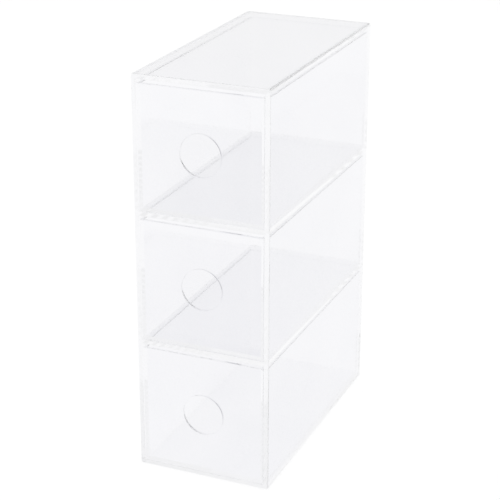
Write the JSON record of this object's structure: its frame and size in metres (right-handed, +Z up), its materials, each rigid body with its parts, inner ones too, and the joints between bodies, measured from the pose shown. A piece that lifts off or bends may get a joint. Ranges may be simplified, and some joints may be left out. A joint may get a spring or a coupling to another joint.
{
  "type": "stackable drawer box",
  "caption": "Tall slim box of clear acrylic sheet with stacked bays, each with a sliding drawer pulled by a round finger hole; flat top and base for stacking.",
  "frame": {"origin": "middle of the base, on the surface that the box stands on", "axes": "+X to the right seen from the front, +Y from the drawer fronts to the back, +Z up"},
  "size_m": [0.086, 0.17, 0.252],
  "materials": {
    "case_acrylic": "clear, polished",
    "drawer_acrylic": "clear, polished"
  },
  "bodies": {
    "case": {"case_left_side": "case_acrylic", "case_right_side": "case_acrylic", "case_back": "case_acrylic", "case_top": "case_acrylic", "case_floor": "case_acrylic", "lower_shelf": "case_acrylic", "upper_shelf": "case_acrylic"},
    "lower_drawer": {"lower_drawer_front": "drawer_acrylic", "lower_drawer_floor": "drawer_acrylic", "lower_drawer_left_side": "drawer_acrylic", "lower_drawer_right_side": "drawer_acrylic", "lower_drawer_back": "drawer_acrylic"},
    "middle_drawer": {"middle_drawer_front": "drawer_acrylic", "middle_drawer_floor": "drawer_acrylic", "middle_drawer_left_side": "drawer_acrylic", "middle_drawer_right_side": "drawer_acrylic", "middle_drawer_back": "drawer_acrylic"},
    "upper_drawer": {"upper_drawer_front": "drawer_acrylic", "upper_drawer_floor": "drawer_acrylic", "upper_drawer_left_side": "drawer_acrylic", "upper_drawer_right_side": "drawer_acrylic", "upper_drawer_back": "drawer_acrylic"}
  },
  "joints": [
    {"name": "lower_drawer_slide", "type": "slide", "parent": "case", "child": "lower_drawer", "axis": [0, -1, 0], "range_m": [0, 0.14]},
    {"name": "middle_drawer_slide", "type": "slide", "parent": "case", "child": "middle_drawer", "axis": [0, -1, 0], "range_m": [0, 0.14]},
    {"name": "upper_drawer_slide", "type": "slide", "parent": "case", "child": "upper_drawer", "axis": [0, -1, 0], "range_m": [0, 0.14]}
  ]
}
